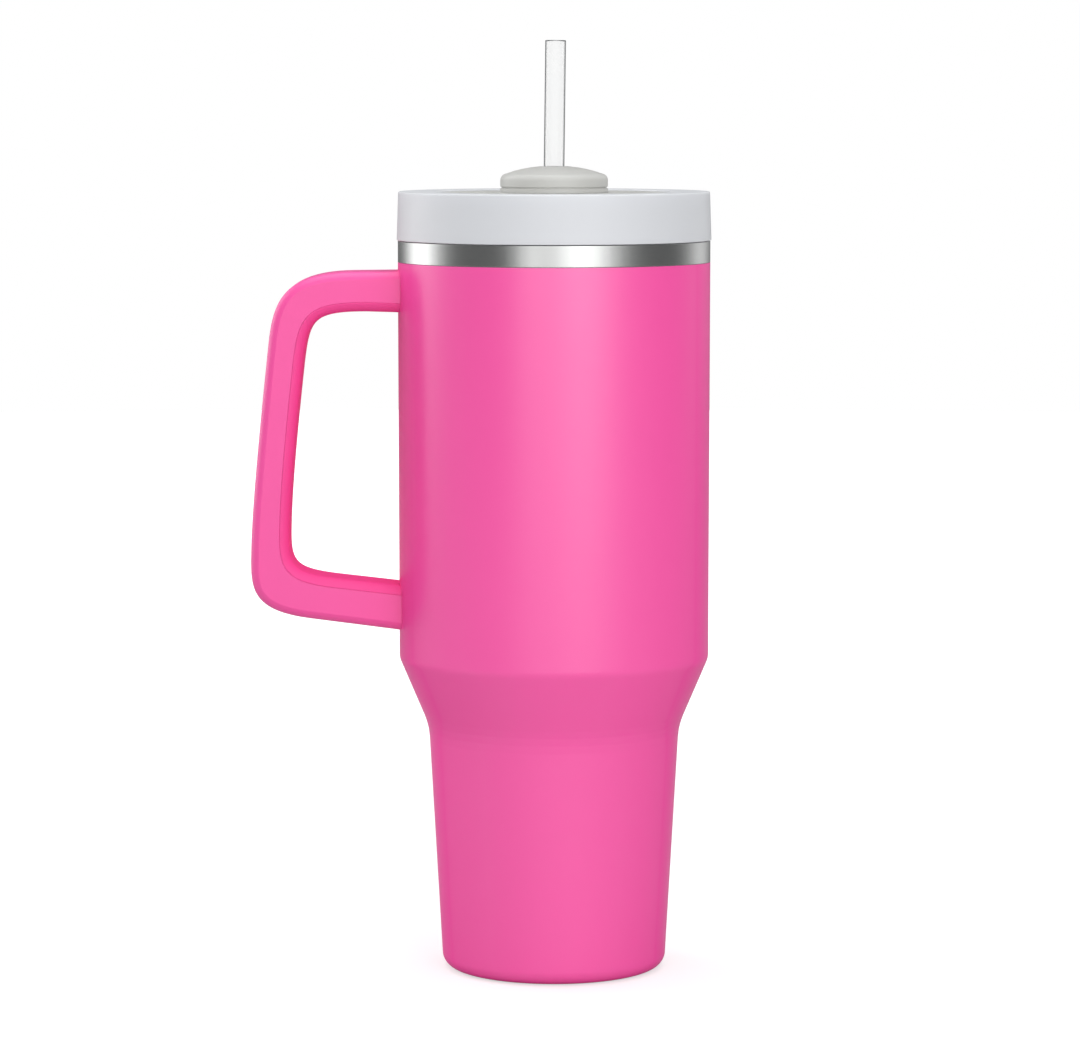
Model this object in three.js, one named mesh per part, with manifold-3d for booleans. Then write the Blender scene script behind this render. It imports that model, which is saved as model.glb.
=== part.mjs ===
// A 40 oz double-wall vacuum tumbler with a side handle, a push-in lid, a rotating cover and a straw.
// Millimetres. +Z is up, the cup's axis is Z, z = 0 is the surface it stands on, and the handle points to -X.
import * as THREE from "three";
import { mergeVertices } from "three/addons/utils/BufferGeometryUtils.js";
import Module from "manifold-3d";

const wasm = await Module();
wasm.setup();

// ---------------------------------------------------------------- driving dimensions
const GAP = 0.3; // left between two pieces that touch
const SEGMENTS = 36; // facets round a large turned piece
const MEDIUM_SEGMENTS = 28; // facets round the turret, plate, foil and hub seal
const SMALL_SEGMENTS = 20; // facets round a straw, screw, bead or plug
const RIM_Z = 246.4; // top of the cup's rolled lip

// outer wall: a tapered foot part, a cone, and a wide upper part
const FOOT_Z = 0.2;
const FOOT_R = 31.3;
const FOOT_FILLET = 4.75;
const WALL = 0.5;
const FOOT_WALL_R = 36.15; // just above the fillet
const CONE_START = { r: 40.37, z: 79.1 };
const CONE_BLEND = 3.6; // length of the soft bend each side of the cone's lower edge
const SHOULDER = { r: 49.8, z: 101.2 };
const BODY_R = 50.0;
const COAT_TOP_Z = 228.75; // where the coloured wall ends and bare steel begins

// inner wall
const LINER_WALL = 0.4;
const LINER_FLOOR_Z = 10.0;
const LINER_R = 45.6; // bore of the upper part
const LINER_FLOOR_R = 31.8;
const LINER_CONE = { r: 35.9, z: 81.0 };
const LINER_SHOULDER_Z = 105.0;
const NECK_R = 47.9;
const BAND_TOP_Z = 235.2;

// bottom
const BOTTOM_PLATE = { r: 30.2, z: 1.0, thick: 0.6, dimpleR: 4.6, dimpleLift: 1.3, holeR: 1.0 };
const SEAL_BEAD = { r: 3.2, z: [1.1, 2.0] };
const GETTER = { r: 4, thick: 2.4, x: 14 };
const FOIL = { off: 0.5, thick: 0.2, z: [22, 222], lowR: 33.2 };
const PAD_R = 27.2;
const FLANGE_R = 27.5;

// lid
const LID_TOP_Z = 251.0;
const LID_BOTTOM_Z = 235.5;
const LID_TOP_R = 49.85;
const LID_BOTTOM_R = 50.36;
const SKIRT_INNER_R = 48.6;
const PLUG_R = 44.0;
const PLUG_BORE_R = 42.2;
const PLUG_BOTTOM_Z = 229.0;
const RECESS_R = 37.6;
const LID_FLOOR_Z = 247.4;
const LID_FLOOR_THICK = 2.2;
const HUB_HOLE_R = 9.4;
const GASKET_Z = [233.0, 236.6];
const GASKET_GROOVE_R = 43.0;

// rotating cover: its three positions are closed, straw and sip
const COVER_TURN_DEG = 60;
const DISC_Z = [248.0, 250.6];
const DISC_R = 37.3;
const HUB_R = 9.1;
const HUB_BORE_R = 5.9;
const HUB_BOTTOM_Z = 240.5;
const CLIP_GROOVE_Z = [242.9, 244.7];
const CLIP = { inner: 8.6, outer: 12.0, fromDeg: -60, toDeg: 240, thick: 1.2 };
const HUB_SEAL = { inner: 11.8, outer: 13.2 };
const PORT_SEAL = { inner: 1.3, outer: 2.5 }; // margins round the port
const SEAL_SINK = 0.6; // how deep the port and hub seals sit in the lid's floor
const PORT = { inner: 26.5, outer: 33.5, halfDeg: 12 };
const PORT_DEG = 90;
const VENT_DEG = -90;
const VENT_RADIAL = 30;
const VENT_R = 1.6;
const STOP_TRACK = { inner: 19.5, outer: 22.0, floorZ: 246.3 };
const STOP_LUG_HALF_DEG = 4;
const STOP_SLACK_DEG = 1.2;

// turret on the cover, and the straw through it
const TURRET_R = 17.2;
const TURRET_TOP_Z = 259.3;
const TURRET_CORNER = 2.1;
const TURRET_CROWN_R = 49;
const TURRET_WALL = 2.0;
const TURRET_BASE_Z = 250.9;
const TURRET_GROOVE_Z = [252.0, 252.5];
const STRAW_R = 3.3;
const STRAW_WALL = 0.7;
const STRAW_Z = [13.0, 299.0];
const STRAW_LEAN_DEG = 0.7; // towards +X, about the top of the turret
const GROMMET_BORE_R = 3.75;
const GROMMET_R = 5.6;
const GROMMET_FLANGE = { wide: 1.9, thick: 1.3 };

// handle
const HANDLE_WIDTH = 20;
const HANDLE_EDGE = 2.6; // how far the rounded edges reach in from the outline
const GRIP_DEPTH = 2.8; // of the soft layer along the inner side
const BRACKET_Z = { top: 220.7, bottom: 117.9 };
const SADDLE = { thick: 1.2, width: 13, height: 6.8 };
const TONGUE = { width: 9, thick: 3, reach: 65 };
const SCREW_X = -58.5;
const SCREW_R = 2.0;
const SCREW_HEAD = { r: 3.6, thick: 1.9, slot: 0.9 };
const SCREW_PLUG = 1.2;
const COUNTERBORE_R = 4.5;

// ---------------------------------------------------------------- colours and finishes
const finish = (color, roughness, metalness) =>
  new THREE.MeshStandardMaterial({ color, roughness, metalness });
const pinkCoat = () => finish(0xf4609f, 0.42, 0.1);
const pinkPlastic = () => finish(0xfb66aa, 0.45, 0.0);
const pinkGrip = () => finish(0xf9459a, 0.6, 0.0);
const steel = () => finish(0xc8c8c8, 0.25, 1.0);
const frosted = () => finish(0xd6d8dc, 0.45, 0.0);
const warmGrey = () => finish(0xcfcfca, 0.5, 0.0);
const silicone = () => finish(0xe4e4e0, 0.7, 0.0);
const clear = () => finish(0xf4f6f8, 0.1, 0.0);

// ---------------------------------------------------------------- helpers
const rad = THREE.MathUtils.degToRad;
const degAt = THREE.MathUtils.radToDeg;

// A closed three.js geometry as a manifold-3d solid.
function solid(geometry) {
  const bare = geometry.clone();
  bare.deleteAttribute("normal");
  bare.deleteAttribute("uv");
  const merged = mergeVertices(bare, 1e-4);
  const vertProperties = new Float32Array(merged.attributes.position.array);
  const triVerts = new Uint32Array(merged.index.array);
  return new wasm.Manifold(new wasm.Mesh({ numProp: 3, vertProperties, triVerts }));
}

// A manifold-3d solid, or a plain geometry, as a named mesh.
function piece(name, shape, material) {
  let geometry = shape;
  if (!shape.isBufferGeometry) {
    const mesh = shape.getMesh();
    geometry = new THREE.BufferGeometry();
    geometry.setAttribute("position", new THREE.BufferAttribute(mesh.vertProperties, 3));
    geometry.setIndex(new THREE.BufferAttribute(mesh.triVerts, 1));
    geometry.computeVertexNormals();
  }
  const made = new THREE.Mesh(geometry, material);
  made.name = name;
  return made;
}

// Turns a profile of [radius, height] points, listed anticlockwise, about Z. It closes on itself.
function turned(points, segments = SEGMENTS) {
  const profile = points.map(([r, z]) => new THREE.Vector2(r, z));
  const onAxis = points[0][0] === 0 && points[points.length - 1][0] === 0;
  if (!onAxis) profile.push(profile[0].clone());
  return new THREE.LatheGeometry(profile, segments).rotateX(Math.PI / 2);
}

// A round bar or ring between two heights.
const ring = (inner, outer, z0, z1, segments = SEGMENTS) =>
  inner > 0
    ? turned([[inner, z0], [outer, z0], [outer, z1], [inner, z1]], segments)
    : turned([[0, z0], [outer, z0], [outer, z1], [0, z1]], segments);

// Points of an arc in a profile, from one angle to another.
function arc(cr, cz, radius, fromDeg, toDeg, steps) {
  return Array.from({ length: steps + 1 }, (_, i) => {
    const a = rad(fromDeg + ((toDeg - fromDeg) * i) / steps);
    return [cr + radius * Math.cos(a), cz + radius * Math.sin(a)];
  });
}

// Points of a soft bend that replaces a corner, from `before` to `after`.
function bend(before, corner, after, steps) {
  const curve = new THREE.QuadraticBezierCurve(
    new THREE.Vector2(...before),
    new THREE.Vector2(...corner),
    new THREE.Vector2(...after),
  );
  return curve.getPoints(steps).map((p) => [p.x, p.y]);
}

// A flat shape in the XY plane raised between two heights.
const raised = (shape, z0, z1, curveSegments = 12) =>
  new THREE.ExtrudeGeometry(shape, { depth: z1 - z0, bevelEnabled: false, curveSegments })
    .translate(0, 0, z0);

// A stretch of a flat ring, centred on an angle about Z.
function sector(inner, outer, centreDeg, halfDeg) {
  const from = rad(centreDeg - halfDeg);
  const to = rad(centreDeg + halfDeg);
  const shape = new THREE.Shape();
  shape.absarc(0, 0, outer, from, to, false);
  shape.absarc(0, 0, inner, to, from, true);
  shape.closePath();
  return shape;
}

// The same stretch grown by a margin all round.
function grownSector(s, centreDeg, margin) {
  const middle = (s.inner + s.outer) / 2;
  return sector(s.inner - margin, s.outer + margin, centreDeg, s.halfDeg + degAt(margin / middle));
}

const box = (x, y, z) => new THREE.BoxGeometry(x, y, z);
const polar = (radius, deg) => [radius * Math.cos(rad(deg)), radius * Math.sin(rad(deg))];

// ---------------------------------------------------------------- the cup
// The outside of the coloured wall, from the foot's flat ring up to the bare band.
const CONE_STEEPNESS = (SHOULDER.r - CONE_START.r) / (SHOULDER.z - CONE_START.z);
const FOOT_STEEPNESS = (CONE_START.r - FOOT_WALL_R) / (CONE_START.z - FOOT_Z - FOOT_FILLET);

function outsideOfShell(inset) {
  const filletZ = FOOT_Z + FOOT_FILLET;
  const fillet = arc(FOOT_R, filletZ, FOOT_FILLET - inset, -90, 0, 4);
  const beforeBend = [CONE_START.r - CONE_BLEND * FOOT_STEEPNESS - inset, CONE_START.z - CONE_BLEND];
  const afterBend = [CONE_START.r + CONE_BLEND * CONE_STEEPNESS - inset, CONE_START.z + CONE_BLEND];
  return [
    [FLANGE_R, FOOT_Z + inset],
    ...fillet,
    ...bend(beforeBend, [CONE_START.r - inset, CONE_START.z], afterBend, 3),
    [SHOULDER.r - inset, SHOULDER.z],
    [BODY_R - inset, COAT_TOP_Z],
  ];
}

function outerShell() {
  const profile = [...outsideOfShell(0), ...outsideOfShell(WALL).reverse()];
  return piece("outer_shell", turned(profile), pinkCoat());
}

// The inner cup. Its lip is rolled over, comes down outside as the neck, and ends as the bare steel band.
function innerLiner() {
  const out = LINER_WALL;
  const corner = 6;
  const lipR = (NECK_R - LINER_R) / 2;
  const lipCentre = [(NECK_R + LINER_R) / 2, RIM_Z - lipR];
  const bandBottom = COAT_TOP_Z + GAP;
  return piece(
    "inner_liner",
    turned([
      [0, LINER_FLOOR_Z - out],
      ...arc(LINER_FLOOR_R - corner, LINER_FLOOR_Z + corner, corner + out, -90, 0, 3),
      [LINER_CONE.r + out, LINER_CONE.z],
      [LINER_R + out, LINER_SHOULDER_Z],
      ...arc(...lipCentre, lipR - out, 180, 0, 4),
      [NECK_R - out, BAND_TOP_Z - 0.3],
      [BODY_R - 0.7, BAND_TOP_Z - out],
      [BODY_R - WALL, BAND_TOP_Z - 0.8],
      [BODY_R - WALL, bandBottom],
      [BODY_R, bandBottom],
      [BODY_R, BAND_TOP_Z - 0.4],
      [BODY_R - 0.4, BAND_TOP_Z],
      [NECK_R + 0.4, BAND_TOP_Z],
      [NECK_R, BAND_TOP_Z + 0.4],
      ...arc(...lipCentre, lipR, 0, 180, 6),
      [LINER_R, LINER_SHOULDER_Z],
      [LINER_CONE.r, LINER_CONE.z],
      ...arc(LINER_FLOOR_R - corner, LINER_FLOOR_Z + corner, corner, 0, -90, 3),
      [0, LINER_FLOOR_Z],
    ]),
    steel(),
  );
}

// A thin metal foil round the inner cup, in the vacuum, that reflects heat back.
function heatFoil() {
  const [low, high] = FOIL.z;
  const off = LINER_WALL + FOIL.off;
  const cone = [[LINER_CONE.r, LINER_CONE.z], [LINER_R, LINER_SHOULDER_Z]];
  const line = [[FOIL.lowR, low], ...cone, [LINER_R, high]];
  const outer = line.map(([r, z]) => [r + off + FOIL.thick, z]);
  const inner = line.map(([r, z]) => [r + off, z]);
  const made = turned([...outer, ...inner.reverse()], MEDIUM_SEGMENTS);
  return piece("heat_foil", made, finish(0xd9d9d6, 0.35, 1.0));
}

// The steel plate that closes the outer wall, with a dimple and the hole the air is drawn out through.
function bottomPlate() {
  const { r, z, thick, dimpleR, dimpleLift, holeR } = BOTTOM_PLATE;
  const slope = 1.0;
  const raisedZ = z + dimpleLift;
  const upperR = dimpleR - 0.2;
  return piece(
    "bottom_plate",
    turned([
      [holeR, raisedZ],
      [dimpleR, raisedZ],
      [dimpleR + slope, z],
      [r, z],
      [r, z + thick],
      [upperR + slope, z + thick],
      [upperR, raisedZ + thick],
      [holeR, raisedZ + thick],
    ], MEDIUM_SEGMENTS),
    steel(),
  );
}

// The bead of solder in the dimple that closes the hole.
function sealBead() {
  const { r, z: [low, high] } = SEAL_BEAD;
  const widest = low + 0.4;
  const points = [[0, low], [r - 0.6, low], [r, widest], [r - 0.8, high], [0, high]];
  return piece("vacuum_seal_bead", turned(points, SMALL_SEGMENTS), steel());
}

function getter() {
  const z = BOTTOM_PLATE.z + BOTTOM_PLATE.thick + GAP;
  const pellet = ring(0, GETTER.r, z, z + GETTER.thick, SMALL_SEGMENTS);
  const made = piece("getter", pellet, finish(0x8a8a88, 0.8, 0.6));
  made.position.x = GETTER.x;
  return made;
}

// The soft disc under the cup. Its lower face is what the tumbler stands on.
const basePad = () => piece("base_pad", ring(0, PAD_R, 0, BOTTOM_PLATE.z - GAP), silicone());

// ---------------------------------------------------------------- the handle
// Points [x, z] of the handle's side view. Each corner is one Bezier, and the grip bar bows slightly.
const END_X = -46; // inside the cup's wall, and cut back to it
const OUTER_LINE = {
  start: [END_X, 225.8],
  corners: [
    [[-64.1, 225.6], [-86.1, 225.4], [-89.6, 216.4], [-91.1, 203.1]],
    [[-97.1, 136.3], [-97.4, 124.5], [-97.9, 117.1], [-78.7, 114.5]],
  ],
  bow: [-96.7, 153],
  end: [END_X, 110.3],
};
const INNER_LINE = {
  start: [END_X, 212.6],
  corners: [
    [[-59.9, 213.0], [-77.0, 213.0], [-78.5, 210.3], [-80.2, 197.05]],
    [[-84.8, 145.9], [-85.2, 131.2], [-85.6, 129.2], [-67.8, 127.2]],
  ],
  bow: [-84.2, 162.5],
  end: [END_X, 124.7],
};

// The line's points from the top arm to the bottom arm.
function handleLine({ start, corners, bow, end }) {
  const path = new THREE.Path();
  const [upper, lower] = corners;
  path.moveTo(...start);
  path.lineTo(...upper[0]);
  path.bezierCurveTo(...upper.slice(1).flat());
  path.quadraticCurveTo(...bow, ...lower[0]);
  path.bezierCurveTo(...lower.slice(1).flat());
  path.lineTo(...end);
  return path.getPoints(6);
}

// A side view [x, z] made into a slab of the given width, centred on y = 0.
function slab(points, width, bevel = null) {
  const edge = bevel
    ? { bevelEnabled: true, bevelSize: bevel, bevelOffset: -bevel, bevelThickness: bevel, bevelSegments: 2 }
    : { bevelEnabled: false };
  const depth = width - 2 * (bevel ?? 0);
  const made = new THREE.ExtrudeGeometry(new THREE.Shape(points), { depth, ...edge });
  return made.translate(0, 0, -depth / 2).rotateX(Math.PI / 2);
}

// Moves each point of the inner line towards the outer line by a depth.
function sunk(line, depth) {
  return line.map((p, i) => {
    const before = line[Math.max(i - 1, 0)];
    const after = line[Math.min(i + 1, line.length - 1)];
    const along = new THREE.Vector2().subVectors(after, before).normalize();
    return new THREE.Vector2(p.x + along.y * depth, p.y - along.x * depth);
  });
}

// The whole handle's outside, cut back to the cup's wall.
const OUTLINE = [...handleLine(OUTER_LINE), ...handleLine(INNER_LINE).reverse()];
const CUP_CLEARANCE = ring(0, BODY_R + GAP + 0.1, 90, 240);
const wholeHandle = () => solid(slab(OUTLINE, HANDLE_WIDTH, HANDLE_EDGE)).subtract(solid(CUP_CLEARANCE));

// Everything within a depth of the handle's inner line.
function innerLayer(depth) {
  const line = handleLine(INNER_LINE);
  const past = 2;
  return solid(slab([...sunk(line, -past), ...sunk(line, depth).reverse()], HANDLE_WIDTH + past));
}

const UNDERSIDE_Z = { top: 212.95, bottom: 111.7 }; // of each arm, at the screws
const headSeat = (arm) => UNDERSIDE_Z[arm] + SCREW_PLUG + SCREW_HEAD.thick + 3 * GAP;

// The hole in an arm's underside for the screw's head and its plug.
function counterbore(arm) {
  const below = 4;
  const hole = ring(0, COUNTERBORE_R, UNDERSIDE_Z[arm] - below, headSeat(arm), SMALL_SEGMENTS);
  return solid(hole.translate(SCREW_X, 0, 0));
}

function handleShell() {
  let shell = wholeHandle().subtract(innerLayer(GRIP_DEPTH + GAP));
  for (const arm of ["top", "bottom"]) {
    const z = BRACKET_Z[arm];
    const saddleRoom = BODY_R + SADDLE.thick + 3 * GAP;
    const saddle = box(20, SADDLE.width + 2 * GAP, SADDLE.height + 2 * GAP).translate(-saddleRoom + 10, 0, z);
    const tongueLength = TONGUE.reach + GAP - BODY_R;
    const tongue = box(tongueLength, TONGUE.width + 2 * GAP, TONGUE.thick + 2 * GAP);
    const shank = ring(0, SCREW_R + GAP, UNDERSIDE_Z[arm], z, SMALL_SEGMENTS);
    shell = shell
      .subtract(solid(saddle))
      .subtract(solid(tongue.translate(-BODY_R - tongueLength / 2, 0, z)))
      .subtract(solid(shank.translate(SCREW_X, 0, 0)))
      .subtract(counterbore(arm));
  }
  return piece("handle_shell", shell, pinkPlastic());
}

// The soft layer moulded along the whole inner side. The upper screw goes up through it.
function handleGrip() {
  const layer = wholeHandle().intersect(innerLayer(GRIP_DEPTH));
  return piece("handle_grip", layer.subtract(counterbore("top")), pinkGrip());
}

// A curved steel saddle welded to the cup, with a tongue that the handle slides over.
function bracket(arm) {
  const z = BRACKET_Z[arm];
  const inner = BODY_R + GAP;
  const slice = box(20, SADDLE.width, SADDLE.height).translate(-inner, 0, z);
  const collar = ring(inner, inner + SADDLE.thick, z - 10, z + 10, 4 * SEGMENTS);
  const tongueLength = TONGUE.reach - inner - 0.6;
  const tongueX = -TONGUE.reach + tongueLength / 2;
  const tongue = box(tongueLength, TONGUE.width, TONGUE.thick).translate(tongueX, 0, z);
  const hole = ring(0, SCREW_R + GAP, z - 5, z + 5, SMALL_SEGMENTS).translate(SCREW_X, 0, 0);
  const made = solid(collar).intersect(solid(slice)).add(solid(tongue)).subtract(solid(hole));
  return piece(`bracket_${arm}`, made, steel());
}

// A pan-head screw, driven up from the underside of the arm into the bracket's tongue.
function handleScrew(arm) {
  const { r: headR, thick, slot } = SCREW_HEAD;
  const headZ = UNDERSIDE_Z[arm] + SCREW_PLUG + 2 * GAP;
  const seat = headZ + thick;
  const tip = BRACKET_Z[arm] + TONGUE.thick / 2 - GAP;
  const bevel = 0.8;
  const body = turned(
    [[0, headZ], [headR - bevel, headZ], [headR, headZ + bevel], [headR, seat], [SCREW_R, seat],
      [SCREW_R, tip - bevel], [SCREW_R - bevel, tip], [0, tip]],
    SMALL_SEGMENTS,
  );
  const bar = () => box(headR + slot / 2, slot, 2 * slot).translate(0, 0, headZ);
  const cross = solid(bar()).add(solid(bar().rotateZ(Math.PI / 2)));
  const made = piece(`screw_${arm}`, solid(body).subtract(cross), steel());
  made.position.x = SCREW_X;
  return made;
}

// The soft plug that covers a screw head.
function screwPlug(arm) {
  const z = UNDERSIDE_Z[arm] + GAP;
  const r = COUNTERBORE_R - GAP;
  const made = piece(
    `screw_plug_${arm}`,
    turned([[0, z], [r - GAP, z], [r, z + GAP], [r, z + SCREW_PLUG], [0, z + SCREW_PLUG]], SMALL_SEGMENTS),
    pinkGrip(),
  );
  made.position.x = SCREW_X;
  return made;
}

// ---------------------------------------------------------------- the lid
function lidBody() {
  const [grooveLow, grooveHigh] = GASKET_Z;
  const floorUnder = LID_FLOOR_Z - LID_FLOOR_THICK;
  const rimUnder = RIM_Z + 0.5;
  let lid = solid(
    turned([
      [SKIRT_INNER_R + 0.3, LID_BOTTOM_Z],
      [LID_BOTTOM_R, LID_BOTTOM_Z],
      [LID_TOP_R, LID_TOP_Z - 0.5],
      [LID_TOP_R - 0.4, LID_TOP_Z],
      [RECESS_R + 0.3, LID_TOP_Z],
      [RECESS_R, LID_TOP_Z - 0.3],
      [RECESS_R, LID_FLOOR_Z],
      [HUB_HOLE_R, LID_FLOOR_Z],
      [HUB_HOLE_R, floorUnder],
      [PLUG_BORE_R, floorUnder],
      [PLUG_BORE_R, PLUG_BOTTOM_Z],
      [PLUG_R - 0.5, PLUG_BOTTOM_Z],
      [PLUG_R, PLUG_BOTTOM_Z + 0.5],
      [PLUG_R, grooveLow],
      [GASKET_GROOVE_R, grooveLow],
      [GASKET_GROOVE_R, grooveHigh],
      [PLUG_R, grooveHigh],
      [PLUG_R, rimUnder],
      [SKIRT_INNER_R, rimUnder],
      [SKIRT_INNER_R, LID_BOTTOM_Z + 0.4],
    ]),
  );
  const through = [floorUnder - 1, LID_FLOOR_Z + 1];
  const grooveFloor = LID_FLOOR_Z - SEAL_SINK - GAP;
  const port = raised(sector(PORT.inner, PORT.outer, PORT_DEG, PORT.halfDeg), ...through);
  const sealOuter = raised(grownSector(PORT, PORT_DEG, PORT_SEAL.outer + GAP), grooveFloor, through[1]);
  const sealInner = raised(grownSector(PORT, PORT_DEG, PORT_SEAL.inner - GAP), floorUnder, through[1]);
  const trackHalf = COVER_TURN_DEG + STOP_LUG_HALF_DEG + STOP_SLACK_DEG;
  const track = sector(STOP_TRACK.inner, STOP_TRACK.outer, VENT_DEG, trackHalf);
  const hubSealGroove = ring(HUB_SEAL.inner - GAP, HUB_SEAL.outer + GAP, grooveFloor, through[1]);
  const vent = ring(0, VENT_R, ...through, SMALL_SEGMENTS).translate(...polar(VENT_RADIAL, VENT_DEG), 0);
  lid = lid
    .subtract(solid(port))
    .subtract(solid(sealOuter).subtract(solid(sealInner)))
    .subtract(solid(raised(track, STOP_TRACK.floorZ, through[1], 20)))
    .subtract(solid(hubSealGroove))
    .subtract(solid(vent));
  return piece("lid_body", lid, frosted());
}

// The ring with two lips that seals the lid in the cup's mouth.
function lidGasket() {
  const [low, high] = [GASKET_Z[0] + GAP, GASKET_Z[1] - GAP];
  const inner = GASKET_GROOVE_R + GAP;
  const lip = LINER_R - GAP;
  const root = PLUG_R + 0.3;
  const mid = (low + high) / 2;
  return piece(
    "lid_gasket",
    turned([[inner, low], [root, low], [lip, low + 0.7], [lip, low + 1.1], [root, mid],
      [lip, high - 0.6], [lip, high - 0.2], [root, high], [inner, high]]),
    silicone(),
  );
}

function portSeal() {
  const [low, high] = [LID_FLOOR_Z - SEAL_SINK, LID_FLOOR_Z + GAP];
  const outer = solid(raised(grownSector(PORT, PORT_DEG, PORT_SEAL.outer), low, high));
  const inner = solid(raised(grownSector(PORT, PORT_DEG, PORT_SEAL.inner), low - 1, high + 1));
  return piece("sip_port_seal", outer.subtract(inner), silicone());
}

function hubSeal() {
  const [low, high] = [LID_FLOOR_Z - SEAL_SINK, LID_FLOOR_Z + GAP];
  const made = ring(HUB_SEAL.inner, HUB_SEAL.outer, low, high, MEDIUM_SEGMENTS);
  return piece("hub_seal", made, silicone());
}

// ---------------------------------------------------------------- the rotating cover
// The disc that turns in the lid's recess. At rest its window is a turn's width short of the sip port.
function rotaryCover() {
  const [low, high] = DISC_Z;
  const [clipLow, clipHigh] = CLIP_GROOVE_Z;
  const clipR = HUB_R - 0.8;
  const disc = turned([
    [HUB_BORE_R, HUB_BOTTOM_Z],
    [HUB_R - 0.5, HUB_BOTTOM_Z],
    [HUB_R, HUB_BOTTOM_Z + 0.6],
    [HUB_R, clipLow],
    [clipR, clipLow],
    [clipR, clipHigh],
    [HUB_R, clipHigh],
    [HUB_R, low],
    [DISC_R, low],
    [DISC_R, high - 0.3],
    [DISC_R - 0.3, high],
    [HUB_BORE_R, high],
  ]);
  const through = [low - 1, high + 1];
  const window = raised(sector(PORT.inner, PORT.outer, PORT_DEG - COVER_TURN_DEG, PORT.halfDeg), ...through);
  const vent = ring(0, VENT_R, ...through, SMALL_SEGMENTS).translate(...polar(VENT_RADIAL, VENT_DEG), 0);
  const lug = sector(STOP_TRACK.inner + GAP, STOP_TRACK.outer - GAP, VENT_DEG, STOP_LUG_HALF_DEG);
  const ridge = sector(TURRET_R + 1.8, DISC_R - 3, PORT_DEG - COVER_TURN_DEG + 180, 3);
  const made = solid(disc)
    .add(solid(raised(lug, STOP_TRACK.floorZ + 0.4, low + 0.5)))
    .add(solid(raised(ridge, high - 0.5, high + 0.3)))
    .subtract(solid(window))
    .subtract(solid(vent));
  return piece("rotary_cover", made, warmGrey());
}

// The crowned, hollow turret that the cover is turned by. The straw comes out of its top.
function coverTurret() {
  const crownZ = TURRET_TOP_Z - TURRET_CROWN_R;
  const crown = (r, inset = 0) => crownZ + Math.sqrt((TURRET_CROWN_R - inset) ** 2 - r ** 2);
  const cornerR = TURRET_R - TURRET_CORNER;
  const cornerZ = crown(cornerR) - TURRET_CORNER * 0.95;
  const [grooveLow, grooveHigh] = TURRET_GROOVE_Z;
  const inside = TURRET_R - TURRET_WALL;
  const roof = (r) => crown(r, TURRET_WALL);
  const boreR = GROMMET_R + GAP;
  const boss = boreR + 1.6;
  const exitR = STRAW_R + 0.9;
  const shelfZ = TURRET_TOP_Z - 2.0;
  return piece(
    "cover_turret",
    turned([
      [inside, TURRET_BASE_Z],
      [TURRET_R, TURRET_BASE_Z],
      [TURRET_R, grooveLow],
      [TURRET_R - 0.4, grooveLow],
      [TURRET_R - 0.4, grooveHigh],
      [TURRET_R, grooveHigh],
      ...arc(cornerR, cornerZ, TURRET_CORNER, 0, 72, 4),
      [9.5, crown(9.5)],
      [exitR + 0.5, crown(exitR + 0.5)],
      [exitR, crown(exitR) - 0.5],
      [exitR, shelfZ],
      [boreR, shelfZ],
      [boreR, TURRET_BASE_Z],
      [boss, TURRET_BASE_Z],
      [boss, roof(boss)],
      [inside - 1.5, roof(inside - 1.5)],
      [inside, cornerZ - 0.6],
    ], MEDIUM_SEGMENTS),
    warmGrey(),
  );
}

// The soft sleeve in the hub that grips the straw.
function strawGrommet() {
  const top = TURRET_TOP_Z - 2.0 - GAP;
  const flangeR = GROMMET_R + GROMMET_FLANGE.wide;
  const flangeTop = HUB_BOTTOM_Z - GAP;
  const bottom = flangeTop - GROMMET_FLANGE.thick;
  return piece(
    "straw_grommet",
    turned([
      [GROMMET_BORE_R, bottom],
      [flangeR, bottom],
      [flangeR, flangeTop],
      [GROMMET_R, flangeTop],
      [GROMMET_R, top],
      [GROMMET_BORE_R, top],
    ], SMALL_SEGMENTS),
    silicone(),
  );
}

// The open spring ring in the hub's groove that holds the cover in the lid.
function retainingClip() {
  const shape = new THREE.Shape();
  const [from, to] = [rad(CLIP.fromDeg), rad(CLIP.toDeg)];
  shape.absarc(0, 0, CLIP.outer, from, to, false);
  shape.absarc(0, 0, CLIP.inner, to, from, true);
  shape.closePath();
  const z = CLIP_GROOVE_Z[0] + GAP;
  return piece("retaining_clip", raised(shape, z, z + CLIP.thick, 18), finish(0xe6e6e2, 0.4, 0.0));
}

// A clear tube, cut square, that leans a little in its sleeve.
function straw() {
  const tube = ring(STRAW_R - STRAW_WALL, STRAW_R, 0, STRAW_Z[1] - STRAW_Z[0], SMALL_SEGMENTS);
  const made = piece("straw", tube, clear());
  const lean = rad(STRAW_LEAN_DEG);
  const below = TURRET_TOP_Z - STRAW_Z[0];
  made.position.set(-below * Math.sin(lean), 0, TURRET_TOP_Z - below * Math.cos(lean));
  made.rotation.y = lean;
  return made;
}

// ---------------------------------------------------------------- assembly
const group = (...children) => new THREE.Group().add(...children);

const cup = group(outerShell(), innerLiner(), heatFoil(), bottomPlate(), sealBead(), getter(), basePad());
const handle = group(handleShell(), handleGrip());
for (const arm of ["top", "bottom"]) handle.add(bracket(arm), handleScrew(arm), screwPlug(arm));
const cover = group(rotaryCover(), coverTurret(), strawGrommet(), retainingClip(), straw());
const lid = group(lidBody(), lidGasket(), portSeal(), hubSeal(), cover);

const tumbler = group(cup, handle, lid);

export default tumbler;
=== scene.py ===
import math

import bmesh
import bpy
from mathutils import Matrix, Vector


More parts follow.
